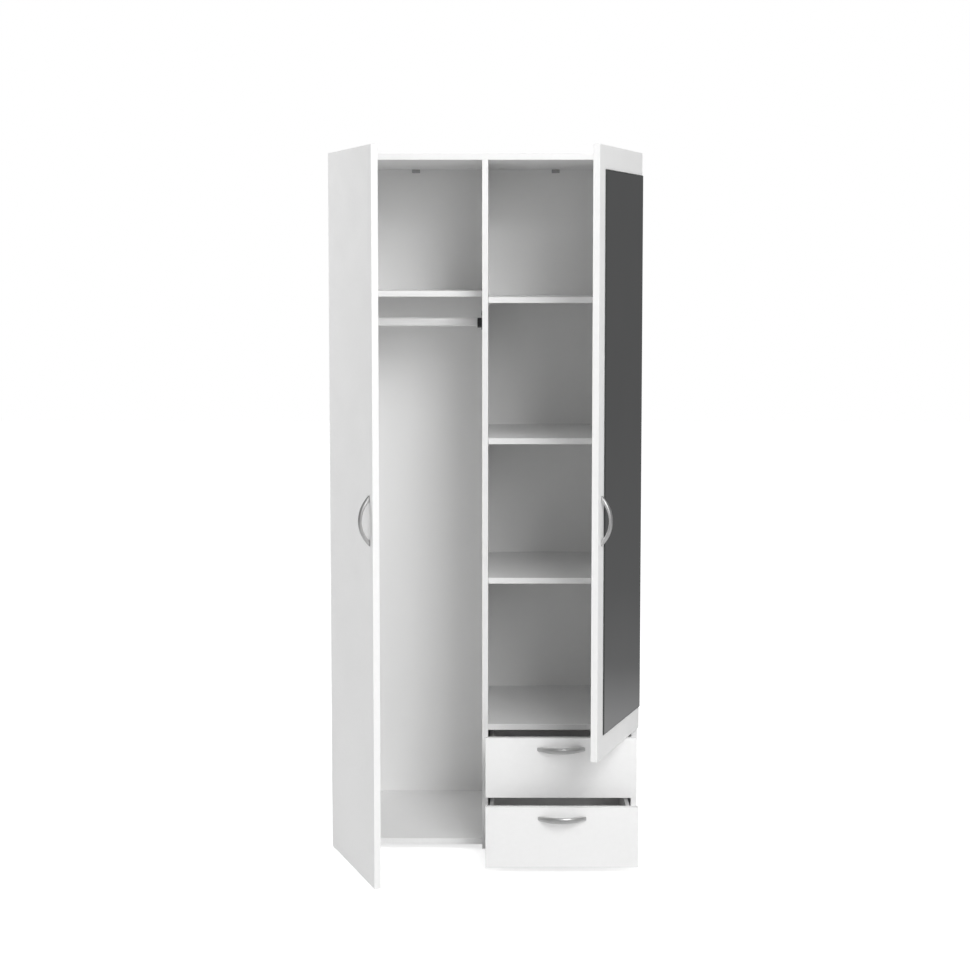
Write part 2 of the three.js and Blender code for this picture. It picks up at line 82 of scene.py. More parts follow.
class Tree:
    """A material with short calls to add and join its nodes."""

    def __init__(self, name):
        self.material = bpy.data.materials.new(name)
        self.material.use_nodes = True
        self.tree = self.material.node_tree
        self.shader = self.tree.nodes["Principled BSDF"]
        self.place = self.add("ShaderNodeTexCoord").outputs["Object"]

    def add(self, kind, **values):
        node = self.tree.nodes.new(kind)
        for key, value in values.items():
            setattr(node, key, value)
        return node

    def link(self, output, socket):
        self.tree.links.new(output, socket)

    def feed(self, value, socket):
        """Links an output, or sets a colour or number."""
        if isinstance(value, bpy.types.NodeSocket):
            self.link(value, socket)
        elif isinstance(value, tuple):
            socket.default_value = (*value, 1)
        else:
            socket.default_value = value

    def stretched(self, stretch):
        """The object's coordinates, scaled along each axis."""
        mapping = self.add("ShaderNodeMapping")
        mapping.inputs["Scale"].default_value = stretch
        self.link(self.place, mapping.inputs["Vector"])
        return mapping.outputs[0]

    def noise(self, scale, detail=3.0, roughness=0.55, stretch=None, distortion=0.0):
        node = self.add("ShaderNodeTexNoise")
        node.inputs["Scale"].default_value = scale
        node.inputs["Detail"].default_value = detail
        node.inputs["Roughness"].default_value = roughness
        node.inputs["Distortion"].default_value = distortion
        place = self.place if stretch is None else self.stretched(stretch)
        self.link(place, node.inputs["Vector"])
        return node.outputs["Fac"]

    def span(self, value, low, high, start=0.3, end=0.7):
        """Maps start..end of a value to low..high."""
        node = self.add("ShaderNodeMapRange")
        self.link(value, node.inputs["Value"])
        node.inputs["From Min"].default_value = start
        node.inputs["From Max"].default_value = end
        node.inputs["To Min"].default_value = low
        node.inputs["To Max"].default_value = high
        return node.outputs[0]

    def ramp(self, value, *stops):
        node = self.add("ShaderNodeValToRGB")
        set_ramp(node, stops)
        self.link(value, node.inputs["Fac"])
        return node.outputs["Color"]

    def blend(self, factor, a, b):
        node = self.add("ShaderNodeMix", data_type="RGBA")
        self.feed(factor, node.inputs["Factor"])
        self.feed(a, node.inputs[MIX_A])
        self.feed(b, node.inputs[MIX_B])
        return node.outputs[MIX_RESULT]

    def bump(self, height, strength, distance, under=None):
        node = self.add("ShaderNodeBump")
        node.inputs["Strength"].default_value = strength
        node.inputs["Distance"].default_value = distance
        self.link(height, node.inputs["Height"])
        if under is not None:
            self.link(under, node.inputs["Normal"])
        return node.outputs[0]

    def finish(self, colour, roughness, normal=None, metallic=0.0, **shader):
        self.feed(colour, self.shader.inputs["Base Color"])
        self.feed(roughness, self.shader.inputs["Roughness"])
        self.shader.inputs["Metallic"].default_value = metallic
        if normal is not None:
            self.link(normal, self.shader.inputs["Normal"])
        for key, value in shader.items():
            self.shader.inputs[key.replace("_", " ")].default_value = value
        return self.material


def rear_mask(tree):
    """1 on faces that look to the object's +Y in its own frame, 0 elsewhere."""
    geometry = tree.add("ShaderNodeNewGeometry")
    turn = tree.add(
        "ShaderNodeVectorTransform",
        vector_type="NORMAL",
        convert_from="WORLD",
        convert_to="OBJECT",
    )
    tree.link(geometry.outputs["True Normal"], turn.inputs[0])
    split = tree.add("ShaderNodeSeparateXYZ")
    tree.link(turn.outputs[0], split.inputs[0])
    return tree.span(split.outputs["Y"], 0.0, 1.0, 0.9, 0.95)


# ---------------------------------------------------------------- materials
def foil_nodes(tree):
    """White melamine foil: a faint pearl in the surface, with slow changes of tone and gloss."""
    tone = tree.noise(2.3, 2.0, 0.5)
    mottle = tree.noise(95.0, 4.0, 0.6)
    colour = tree.blend(
        tree.span(mottle, 0.0, 0.35),
        tree.ramp(tone, (0.3, (0.905, 0.905, 0.903)), (0.7, (0.93, 0.93, 0.928))),
        (0.875, 0.875, 0.872),
    )
    pearl = tree.noise(1500.0, 2.0, 0.5)
    pores = tree.noise(160.0, 3.0, 0.6, stretch=(3.0, 3.0, 0.22))
    normal = tree.bump(pearl, 0.10, 0.00012, tree.bump(pores, 0.10, 0.0002))
    gloss = tree.span(tree.noise(14.0, 3.0), 0.36, 0.47)
    return colour, gloss, normal


def make_foil():
    tree = Tree("white_foil")
    colour, gloss, normal = foil_nodes(tree)
    return tree.finish(colour, gloss, normal, Specular_IOR_Level=0.45)


def make_foil_raw():
    """The same foil on a board whose rear edge is bare chipboard."""
    tree = Tree("white_foil_raw_rear")
    colour, gloss, normal = foil_nodes(tree)
    cell = tree.add("ShaderNodeTexVoronoi")
    cell.inputs["Scale"].default_value = 420.0
    cell.inputs["Randomness"].default_value = 1.0
    tree.link(tree.stretched((1.0, 1.0, 0.45)), cell.inputs["Vector"])
    chips = tree.ramp(
        cell.outputs["Color"],
        (0.0, (0.36, 0.24, 0.135)),
        (0.5, (0.52, 0.37, 0.22)),
        (1.0, (0.66, 0.51, 0.33)),
    )
    grit = tree.noise(900.0, 3.0, 0.7)
    chips = tree.blend(tree.span(grit, 0.0, 0.7, 0.5, 0.7), chips, (0.24, 0.15, 0.08))
    rear = rear_mask(tree)
    return tree.finish(
        tree.blend(rear, colour, chips),
        tree.blend(rear, gloss, (0.85, 0.85, 0.85)),
        tree.bump(grit, 0.05, 0.0003, normal),
        Specular_IOR_Level=0.45,
    )


def make_hardboard():
    """Thin hardboard, lacquered white to the front and raw, fibrous brown to the rear."""
    tree = Tree("hardboard")
    tone = tree.noise(2.0, 2.0)
    white = tree.ramp(tone, (0.3, (0.90, 0.90, 0.898)), (0.7, (0.925, 0.925, 0.922)))
    fibre = tree.noise(55.0, 8.0, 0.75, distortion=0.6)
    fleck = tree.noise(420.0, 4.0, 0.7)
    brown = tree.ramp(
        fibre,
        (0.25, (0.17, 0.095, 0.05)),
        (0.5, (0.27, 0.165, 0.092)),
        (0.78, (0.37, 0.245, 0.145)),
    )
    brown = tree.blend(tree.span(fleck, 0.0, 0.5, 0.55, 0.7), brown, (0.44, 0.31, 0.19))
    rear = rear_mask(tree)
    screen = tree.noise(700.0, 3.0, 0.6)
    return tree.finish(
        tree.blend(rear, white, brown),
        tree.blend(rear, (0.5, 0.5, 0.5), (0.8, 0.8, 0.8)),
        tree.bump(screen, 0.12, 0.0003),
        Specular_IOR_Level=0.35,
    )


def make_plastic(name, colour, shade, roughness):
    """Moulded plastic with a fine spark texture, a little darker in cloudy places."""
    tree = Tree(name)
    spark = tree.noise(1300.0, 2.0)
    tone = tree.noise(30.0, 2.0)
    return tree.finish(
        tree.ramp(tone, (0.3, shade), (0.7, colour)),
        tree.span(tree.noise(60.0), roughness - 0.05, roughness + 0.06),
        tree.bump(spark, 0.15, 0.00015),
    )


def make_rail():
    """White enamel on the clothes rail, with the faint lengthwise draw lines of the tube under it."""
    tree = Tree("rail")
    draw = tree.noise(420.0, 2.0, 0.5, stretch=(0.02, 1.0, 1.0))
    tone = tree.noise(18.0, 2.0, 0.5, stretch=(0.15, 1.0, 1.0))
    return tree.finish(
        tree.ramp(tone, (0.3, (0.93, 0.93, 0.93)), (0.7, (0.95, 0.95, 0.948))),
        tree.span(draw, 0.24, 0.36),
        tree.bump(draw, 0.08, 0.0001),
        Coat_Weight=0.3,
        Coat_Roughness=0.2,
    )


def make_steel():
    """Zinc-plated hinge steel: cloudy plating with fine rolling lines."""
    tree = Tree("hinge_steel")
    cloud = tree.noise(140.0, 4.0, 0.65)
    lines = tree.noise(900.0, 2.0, 0.5, stretch=(1.0, 1.0, 0.06))
    return tree.finish(
        tree.ramp(cloud, (0.3, (0.52, 0.53, 0.54)), (0.7, (0.68, 0.685, 0.69))),
        tree.span(cloud, 0.24, 0.42),
        tree.bump(lines, 0.12, 0.0001),
        metallic=1.0,
    )


def make_handle():
    """Satin silver finish, brushed along the bow."""
    tree = Tree("handle_metal")
    brush = tree.noise(2600.0, 2.0, 0.5, stretch=(0.03, 1.0, 1.0))
    cloud = tree.noise(60.0, 3.0)
    return tree.finish(
        tree.ramp(cloud, (0.3, (0.58, 0.58, 0.58)), (0.7, (0.66, 0.66, 0.655))),
        tree.span(brush, 0.30, 0.42),
        tree.bump(brush, 0.10, 0.00008),
        metallic=0.7,
    )


def make_mirror():
    """Silvered glass, with a barely waved surface and a trace of haze."""
    tree = Tree("mirror_glass")
    haze = tree.noise(7.0, 3.0)
    wave = tree.noise(3.0, 1.0)
    return tree.finish(
        tree.ramp(haze, (0.3, (0.86, 0.87, 0.868)), (0.7, (0.885, 0.89, 0.888))),
        tree.span(haze, 0.012, 0.03),
        tree.bump(wave, 0.02, 0.0002),
        metallic=1.0,
    )


def make_mirror_rim():
    """The ground rim of the glass, where the dark backing paint shows."""
    tree = Tree("mirror_rim")
    grind = tree.noise(800.0, 2.0, 0.5)
    return tree.finish(
        tree.ramp(grind, (0.3, (0.040, 0.044, 0.043)), (0.7, (0.060, 0.065, 0.063))),
        tree.span(grind, 0.25, 0.40),
        tree.bump(grind, 0.10, 0.0001),
    )


PLASTICS = {
    "white_plastic": ((0.82, 0.82, 0.81), (0.79, 0.79, 0.78), 0.38),
    "grey_plastic": ((0.44, 0.44, 0.445), (0.40, 0.40, 0.405), 0.42),
    "dark_plastic": ((0.030, 0.031, 0.033), (0.022, 0.023, 0.025), 0.45),
}
MATERIALS = {
    "white_foil": make_foil(),
    "white_foil_raw_rear": make_foil_raw(),
    "hardboard": make_hardboard(),
    "rail": make_rail(),
    "hinge_steel": make_steel(),
    "handle_metal": make_handle(),
    "mirror_glass": make_mirror(),
    "mirror_rim": make_mirror_rim(),
}
MATERIALS.update({name: make_plastic(name, *values) for name, values in PLASTICS.items()})
RAW_REAR = {"left_side", "right_side", "centre_partition", "top_panel"}


def give(obj, slot, material=None):
    obj.data.materials.clear()
    obj.data.materials.append(MATERIALS[material or slot])


# ---------------------------------------------------------------- CAD nodes that stay
EDGE_RADIUS = {
    "white_foil": 0.7 * MM,
    "hardboard": 0.2 * MM,
    "white_plastic": 0.5 * MM,
    "grey_plastic": 0.6 * MM,
    "dark_plastic": 0.5 * MM,
    "rail": 0.15 * MM,
    "hinge_steel": 0.25 * MM,
    "handle_metal": 0.4 * MM,
    "mirror_glass": 0.8 * MM,
}
WELD_DISTANCE = 0.01 * MM
EDGE_SEGMENTS = 2
EDGE_ANGLE = math.radians(35)  # edges that turn less stay as they are


def round_edges(obj, width):
    weld = obj.modifiers.new("weld", "WELD")
    weld.merge_threshold = WELD_DISTANCE
    bevel = obj.modifiers.new("bevel", "BEVEL")
    bevel.width = width
    bevel.segments = EDGE_SEGMENTS
    bevel.limit_method = "ANGLE"
    bevel.angle_limit = EDGE_ANGLE
    bevel.harden_normals = True
    bevel.use_clamp_overlap = True


for name, node in NODES.items():
    slot = SLOT_OF[name]
    give(node, slot, "white_foil_raw_rear" if name in RAW_REAR else None)
    round_edges(node, EDGE_RADIUS[slot])


# ---------------------------------------------------------------- mesh helpers
DOUBLES_DISTANCE = 0.0001 * MM


def make_object(name, bm, slot, body, smooth_below=40.0, matrix=None):
    """Turns a bmesh into a piece that rides on a body, smooth where its faces meet below an angle."""
    bmesh.ops.remove_doubles(bm, verts=bm.verts, dist=DOUBLES_DISTANCE)
    bmesh.ops.recalc_face_normals(bm, faces=bm.faces)
    for face in bm.faces:
        face.smooth = True
    for edge in bm.edges:
        if len(edge.link_faces) == 2 and edge.calc_face_angle() > math.radians(smooth_below):
            edge.smooth = False
    data = bpy.data.meshes.new(name)
    bm.to_mesh(data)
    bm.free()
    obj = bpy.data.objects.new(name, data)
    bpy.context.scene.collection.objects.link(obj)
    if matrix is not None:
        obj.matrix_world = matrix
    give(obj, slot)
    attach(obj, body)
    return obj


def loft(bm, rings, closed_ends=True):
    """Skins a row of rings of equal count, each a closed loop of points."""
    rows = [[bm.verts.new(point) for point in ring] for ring in rings]
    count = len(rows[0])
    for low, high in zip(rows, rows[1:]):
        for i in range(count):
            k = (i + 1) % count
            bm.faces.new((low[i], low[k], high[k], high[i]))
    if closed_ends:
        bm.faces.new(list(reversed(rows[0])))
        bm.faces.new(rows[-1])


def frame_at(place, axis, spin=0.0):
    """A matrix whose Z is axis, at place."""
    turn = Vector(axis).to_track_quat("Z", "Y").to_matrix().to_4x4()
    return Matrix.Translation(place) @ turn @ Matrix.Rotation(spin, 4, "Z")


def around(count):
    """Angles all the way round a circle."""
    return [2 * math.pi * i / count for i in range(count)]


def lathe(bm, profile, matrix, segments=28):
    """Turns a profile of (radius, height) pairs about its Z. The first and last are caps."""
    loft(bm, [
        [matrix @ Vector((radius * math.cos(a), radius * math.sin(a), height)) for a in around(segments)]
        for radius, height in profile
    ])


SCREW = {
    "segments": 40,
    "dome_steps": 6,
    "dome_turn": 1.32,  # radians, from the rim to the recess
    "foot": 0.96,  # of the radius
    "rim": 0.18,  # of the height
    "reach": 0.62,  # of the recess, as a share of the radius
    "arm": 0.24,  # half width of the recess's arms, as a share of its reach
    "floor": 0.25,  # of the recess, as a share of the height
    "draft": 0.82,
}


def screw_head(bm, matrix, radius, height):
    """A domed head with a cross recess, its flat side at the matrix's origin."""
    angles = around(SCREW["segments"])
    rim = SCREW["rim"] * height
    rows = [([radius * SCREW["foot"]] * len(angles), 0.0), ([radius] * len(angles), rim)]
    for i in range(1, SCREW["dome_steps"] + 1):
        t = i / SCREW["dome_steps"]
        here = radius * math.cos(t * SCREW["dome_turn"])
        rows.append(([here] * len(angles), rim + (height - rim) * math.sin(t * QUARTER)))
    reach = radius * SCREW["reach"]
    arm = reach * SCREW["arm"]

    def cross_radius(angle):
        small, big = sorted((abs(math.cos(angle)), abs(math.sin(angle))))
        return arm / small if small * reach > arm * big else reach / big

    cross = [cross_radius(a) for a in angles]
    rows.append((cross, height))
    rows.append(([r * SCREW["draft"] for r in cross], height * SCREW["floor"]))
    loft(bm, [
        [matrix @ Vector((r * math.cos(a), r * math.sin(a), z)) for r, a in zip(radii, angles)]
        for radii, z in rows
    ])


def rounded_rectangle(width, height, radius, steps=5):
    """Points round a rectangle centred on the origin, in its plane."""
    points = []
    for cx, cy, start in ((1, 1, 0), (-1, 1, 90), (-1, -1, 180), (1, -1, 270)):
        for i in range(steps + 1):
            a = math.radians(start + 90 * i / steps)
            points.append((
                cx * (width / 2 - radius) + radius * math.cos(a),
                cy * (height / 2 - radius) + radius * math.sin(a),
            ))
    return points


def upright_oval(width, height, steps):
    """Points round a slot shape that stands on one of its round ends."""
    radius = width / 2
    straight = height / 2 - radius
    turns = [math.pi * i / steps for i in range(steps + 1)]
    points = [(radius * math.cos(a), straight + radius * math.sin(a)) for a in turns]
    return points + [(-x, -z) for x, z in points]


def slab(bm, outline, low, high, matrix, edge):
    """A flat plate from an outline in its own XY, between two heights, with softened rims."""
    cx = sum(p[0] for p in outline) / len(outline)
    cy = sum(p[1] for p in outline) / len(outline)
    reach = max(math.hypot(p[0] - cx, p[1] - cy) for p in outline)
    shrink = 1 - edge / reach
    inner = [(cx + (x - cx) * shrink, cy + (y - cy) * shrink) for x, y in outline]
    rings = [(inner, low), (outline, low + edge), (outline, high - edge), (inner, high)]
    loft(bm, [[matrix @ Vector((x, y, z)) for x, y in ring] for ring, z in rings])


def joint_turn(name):
    """From the joint's shut place, which is its lower limit, to rest."""
    joint = JOINTS[name]
    axis = Vector(joint["axis"])
    if "range_m" in joint:
        return Matrix.Translation(axis * -joint["range_m"][0])
    pivot = Vector(joint["pos_m"])
    turn = Matrix.Rotation(math.radians(-joint["range_deg"][0]), 4, axis)
    return Matrix.Translation(pivot) @ turn @ Matrix.Translation(-pivot)


def rest_box(node):
    """A node's lowest corner, highest corner and middle, at rest."""
    low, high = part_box(node)
    return low, high, (low + high) / 2


def shut_box(node, joint):
    """The same with the node's door or drawer shut."""
    back = joint_turn(joint).inverted()
    points = [back @ v.co for v in NODES[node].data.vertices]
    low = Vector([min(p[i] for p in points) for i in range(3)])
    high = Vector([max(p[i] for p in points) for i in range(3)])
    return low, high, (low + high) / 2


# ---------------------------------------------------------------- bow handles
BOW = {  # millimetres
    "half": 59.5,  # half its length
    "last_ring": 59.3,
    "rise": 26.0,
    "foot": 14.0,
    "thick": 7.5,
    "band": 14.5,
    "thinnest": 0.35,  # at its ends
}
BOW_RINGS = 64
BOW_CROWDING = 0.35  # how much the rings gather at the ends
BOW_POINTS = 28
BOW_TAPER = 0.34  # of the band, towards its ends
BOW_TIP = {"start": 0.93, "length": 0.0725, "rounding": 0.55}  # shares of the half length and the width
FULLNESS = {"outer": 2.4, "inner": 5.0, "side": 2.6}  # exponents of the band's cross section
BOW_SMOOTH_BELOW = 60.0

HANDLES = (  # name, the board under it, the board's body and joint
    ("left_door", "left_door", "left_door_body", "left_door_hinge"),
    ("right_door", "right_door", "right_door_body", "right_door_hinge"),
    ("lower_drawer", "lower_drawer_front", "lower_drawer", "lower_drawer_slide"),
    ("upper_drawer", "upper_drawer_front", "upper_drawer", "upper_drawer_slide"),
)
BOLT = {"from_middle": 52.0 * MM, "radius": 4.0 * MM, "height": 1.6 * MM, "spin": 0.3}


def arc_depth(x, half, rise):
    """Height over its chord of an arc, at a distance from the chord's middle."""
    radius = (half * half + rise * rise) / (2 * rise)
    return math.sqrt(max(radius * radius - x * x, 0.0)) - (radius - rise)


def fuller(value, fullness):
    """A sine or cosine, pushed out as on a superellipse."""
    return math.copysign(abs(value) ** (2 / fullness), value)


def bow_mesh():
    """A bow that stands on Y = 0 and swells to -Y, long in X: a lens-shaped band that narrows to its feet."""
    inner_half = BOW["half"] - BOW["foot"]
    inner_rise = BOW["rise"] - BOW["thick"]
    rings = []
    for i in range(BOW_RINGS + 1):
        t = 2 * i / BOW_RINGS - 1
        x = BOW["last_ring"] * (BOW_CROWDING * math.sin(t * QUARTER) + (1 - BOW_CROWDING) * t)
        top = max(arc_depth(x, BOW["half"], BOW["rise"]), BOW["thinnest"])
        low = max(arc_depth(x, inner_half, inner_rise), 0.0) if abs(x) < inner_half else 0.0
        share = abs(x) / BOW["half"]
        wide = BOW["band"] / 2 * (1 - BOW_TAPER * share**3)
        if share > BOW_TIP["start"]:
            past = (share - BOW_TIP["start"]) / BOW_TIP["length"]
            wide *= math.sqrt(max(1 - past**2, 0.0)) * BOW_TIP["rounding"] + 1 - BOW_TIP["rounding"]
        middle, half = (top + low) / 2, (top - low) / 2
        ring = []
        for a in around(BOW_POINTS):
            c, s = math.cos(a), math.sin(a)
            depth = fuller(c, FULLNESS["outer"] if c > 0 else FULLNESS["inner"]) * half
            side = fuller(s, FULLNESS["side"]) * wide
            ring.append(Vector((x, -(middle + depth), side)) * MM)
        rings.append(ring)
    bm = bmesh.new()
    loft(bm, rings)
    return bm


def add_bow(word, body, joint):
    """The bow on its board's outer face, upright on a door and level on a drawer."""
    node = word + "_handle"
    _, high, middle = shut_box(node, joint)
    stand = Matrix.Translation((middle.x, high.y, middle.z))
    if word.endswith("door"):
        stand = stand @ Matrix.Rotation(QUARTER, 4, "Y")
    place = joint_turn(joint) @ stand
    bow = make_object(node + "_bow", bow_mesh(), "handle_metal", body, BOW_SMOOTH_BELOW, place)
    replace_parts(bow, node)


def add_bolts(word, board, body, joint):
    """The two screws that hold the bow, on the board's rear face."""
    along = Vector((0, 0, 1) if word.endswith("door") else (1, 0, 0))
    middle = shut_box(word + "_handle", joint)[2]
    rear = shut_box(board, joint)[1].y
    bm = bmesh.new()
    for end in (-1, 1):
        place = Vector((middle.x, rear, middle.z)) + along * (end * BOLT["from_middle"])
        at = joint_turn(joint) @ frame_at(place, (0, 1, 0), BOLT["spin"] * end)
        screw_head(bm, at, BOLT["radius"], BOLT["height"])
    make_object(word + "_handle_bolts", bm, "hinge_steel", body)


for word, board, body, joint in HANDLES:
    add_bow(word, body, joint)
for word, board, body, joint in HANDLES:
    add_bolts(word, board, body, joint)


# ---------------------------------------------------------------- hinges
LEAF = {
    "sheet": 1.5 * MM,
    "half_height": 25.0 * MM,
    "corner": 4 * MM,
    "edge": 0.25 * MM,
    "bend": 1.2 * MM,
    "tail": 2 * MM,  # of an arm past the pin's middle, or over the door leaf's plate
    "lap": 4 * MM,  # of the frame leaf's arm over its plate
    "lift": 0.02 * MM,  # of the frame leaf's plate off the board
    "reveal": 2.5 * MM,  # from the side's inner face to the door leaf's plate
}
KNUCKLE = {"radius": 4.0 * MM, "middle_half": 7.0 * MM, "gap": 0.3 * MM, "soft": 0.35 * MM, "segments": 32}
PIN = {"radius": 1.5 * MM, "tip": 0.4 * MM, "past": 1.4 * MM, "taper": 0.8 * MM, "segments": 20}
LEAF_SCREW = {"radius": 3.4 * MM, "from_middle": 15 * MM, "sunk": 0.1 * MM, "share": 0.62}
FRAME_SCREW = {"height": 1.3 * MM, "spin": 0.4}
DOOR_SCREW = {"height": 0.9 * MM, "spin": 0.9}
HINGES = (("left", -1, 4), ("right", 1, 3))  # door, side of the wardrobe, count


def strip(bm, path, thickness, span):
    """A bent strip of sheet: a path in X and Y, with a thickness, over a range of Z."""
    left, right = [], []
    for i, point in enumerate(path):
        before = path[max(i - 1, 0)]
        after = path[min(i + 1, len(path) - 1)]
        way = (Vector(after) - Vector(before)).normalized()
        normal = Vector((-way.y, way.x)) * (thickness / 2)
        left.append(Vector(point) + normal)
        right.append(Vector(point) - normal)
    outline = left + list(reversed(right))
    loft(bm, [[Vector((p.x, p.y, z)) for p in outline] for z in span])


def bend(corner, before, after, radius, steps=5):
    """Points round a corner of a path, with a radius."""
    corner, before, after = Vector(corner), Vector(before), Vector(after)
    a, b = (before - corner).normalized(), (after - corner).normalized()
    half = a.angle(b) / 2
    reach = radius / math.tan(half)
    start, end = corner + a * reach, corner + b * reach
    centre = corner + (a + b).normalized() * (radius / math.sin(half))
    points = []
    for i in range(steps + 1):
        p = start.lerp(end, i / steps) - centre
        points.append(centre + p.normalized() * radius)
    return points


def add_knuckle(bm, pivot, low, high):
    radius, soft = KNUCKLE["radius"], KNUCKLE["soft"]
    profile = [(radius - soft, low), (radius, low + soft), (radius, high - soft), (radius - soft, high)]
    lathe(bm, profile, Matrix.Translation((pivot.x, pivot.y, 0)), KNUCKLE["segments"])


def add_pin(bm, pivot, z):
    tip = LEAF["half_height"] + PIN["past"]
    full = tip - PIN["taper"]
    radius, point = PIN["radius"], PIN["tip"]
    profile = [(point, z - tip), (radius, z - full), (radius, z + full), (point, z + tip)]
    lathe(bm, profile, Matrix.Translation((pivot.x, pivot.y, 0)), PIN["segments"])


def leaf_plate(bm, place, out, along, length, low):
    """A rounded plate of sheet that faces out from place, with its length along a direction."""
    at = frame_at(place, out)
    outline = rounded_rectangle(length, 2 * LEAF["half_height"], LEAF["corner"])
    along_x = (at.inverted().to_3x3() @ Vector(along)).x
    if abs(along_x) < 0.5:
        outline = [(y, x) for x, y in outline][::-1]
    slab(bm, outline, low, LEAF["sheet"], at, LEAF["edge"])


def add_frame_leaf(node, pivot, side, wall, front):
    """On the side panel: a plate, two arms round the panel's edge, two knuckles and the pin."""
    _, high, middle = rest_box(node)
    z = middle.z
    plate_x = wall - side * LEAF["sheet"] / 2
    arm_y = front - LEAF["sheet"] / 2
    corner, outer = (plate_x, arm_y), (pivot.x, arm_y)
    path = [Vector((plate_x, front + LEAF["lap"]))]
    path += bend(corner, (plate_x, front), outer, LEAF["bend"])
    path += bend(outer, corner, (pivot.x, pivot.y), LEAF["bend"])
    path += [Vector((pivot.x, pivot.y + LEAF["tail"]))]
    bm = bmesh.new()
    for end in (-1, 1):
        span = sorted((z + end * KNUCKLE["middle_half"], z + end * LEAF["half_height"]))
        strip(bm, path, LEAF["sheet"], span)
        add_knuckle(bm, pivot, *span)
    depth = high.y - front
    out = (-side, 0, 0)
    leaf_plate(bm, (wall, front + depth / 2, z), out, (0, 1, 0), depth, LEAF["lift"])
    add_pin(bm, pivot, z)
    for end in (-1, 1):
        place = (
            wall - side * (LEAF["sheet"] - LEAF_SCREW["sunk"]),
            front + depth * LEAF_SCREW["share"],
            z + end * LEAF_SCREW["from_middle"],
        )
        at = frame_at(place, out, FRAME_SCREW["spin"] + end)
        screw_head(bm, at, LEAF_SCREW["radius"], FRAME_SCREW["height"])
    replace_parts(make_object(node + "_fine", bm, "hinge_steel", "carcass"), node)


def add_door_leaf(node, word, joint, pivot, side, wall, z):
    """On the door: a plate, an arm and the middle knuckle, drawn with the door shut and turned with it."""
    low, high, _ = shut_box(node, joint)
    arm_y = high.y - LEAF["sheet"] / 2
    near_x = wall - side * LEAF["reveal"]
    far_x = low.x if side > 0 else high.x
    middle_x = (near_x + far_x) / 2
    outer = (pivot.x, arm_y)
    path = [Vector((near_x - side * LEAF["tail"], arm_y))]
    path += bend(outer, (near_x, arm_y), (pivot.x, pivot.y), LEAF["bend"])
    path += [Vector((pivot.x, pivot.y + LEAF["tail"]))]
    reach = KNUCKLE["middle_half"] - KNUCKLE["gap"]
    span = (z - reach, z + reach)
    bm = bmesh.new()
    strip(bm, path, LEAF["sheet"], span)
    add_knuckle(bm, pivot, *span)
    out = (0, 1, 0)
    leaf_plate(bm, (middle_x, high.y - LEAF["sheet"], z), out, (1, 0, 0), abs(near_x - far_x), 0.0)
    for end in (-1, 1):
        place = (middle_x, high.y - LEAF_SCREW["sunk"], z + end * LEAF_SCREW["from_middle"])
        at = frame_at(place, out, DOOR_SCREW["spin"] + end)
        screw_head(bm, at, LEAF_SCREW["radius"], DOOR_SCREW["height"])
    bmesh.ops.transform(bm, matrix=joint_turn(joint), verts=bm.verts)
    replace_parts(make_object(node + "_fine", bm, "hinge_steel", f"{word}_door_body"), node)


def add_hinge(word, number, side):
    joint = f"{word}_door_hinge"
    pivot = Vector(JOINTS[joint]["pos_m"])
    side_low, side_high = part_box(f"{word}_side")
    wall = side_low.x if side > 0 else side_high.x
    hinge = f"{word}_hinge_{number}"
    frame_leaf = f"{hinge}_frame_leaf"
    add_frame_leaf(frame_leaf, pivot, side, wall, side_low.y)
    z = rest_box(frame_leaf)[2].z
    add_door_leaf(f"{hinge}_door_leaf", word, joint, pivot, side, wall, z)


for word, side, count in HINGES:
    for number in range(1, count + 1):
        add_hinge(word, number, side)


# ---------------------------------------------------------------- shelf pins
SHELVES = ("shelf_lower", "shelf_middle", "shelf_upper")
PIN_SETBACK = {"front": 37 * MM, "back": 60 * MM}
PIN_DROP = 2.5 * MM  # from the shelf's underside to the plug's middle
PLUG_PROFILE = [(2.3, -6.0), (2.4, 0.1), (4.6, 0.15), (4.6, 1.3), (4.2, 1.6)]  # radius, height off the wall
PLUG_SEGMENTS = 24
SPOON = {"out": 5.5, "drop": 2.1, "size": (9.0, 7.0, 2.0), "thick": 1.9, "edge": 0.4}
WEB = {"out": 3.5, "drop": 4.3, "size": (5.0, 1.6, 0.6), "thick": 2.6, "edge": 0.3}


def scaled(rows):
    """Rows of millimetres in metres."""
    return [tuple(value * MM for value in row) for row in rows]


def add_tongue(bm, wall, y, under, inward, shape):
    """A small flat plate that stands out of the wall under a shelf, its sizes in millimetres."""
    place = (wall + inward * shape["out"] * MM, y, under - shape["drop"] * MM)
    outline = scaled(rounded_rectangle(*shape["size"]))
    slab(bm, outline, 0.0, shape["thick"] * MM, frame_at(place, (0, 0, 1)), shape["edge"] * MM)


def add_shelf_pins():
    """A plug and a spoon-shaped rest under each corner of the adjustable shelves."""
    bm = bmesh.new()
    partition_low, partition_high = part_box("centre_partition")
    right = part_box("right_side")[0].x
    back_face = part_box("back_panel_right")[0].y
    for shelf in SHELVES:
        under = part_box(shelf)[0].z
        for y in (partition_low.y + PIN_SETBACK["front"], back_face - PIN_SETBACK["back"]):
            for wall, inward in ((partition_high.x, 1), (right, -1)):
                plug = frame_at((wall, y, under - PIN_DROP), (inward, 0, 0))
                lathe(bm, scaled(PLUG_PROFILE), plug, PLUG_SEGMENTS)
                add_tongue(bm, wall, y, under, inward, SPOON)
                add_tongue(bm, wall, y, under, inward, WEB)
    make_object("shelf_pins", bm, "white_plastic", "carcass")


add_shelf_pins()


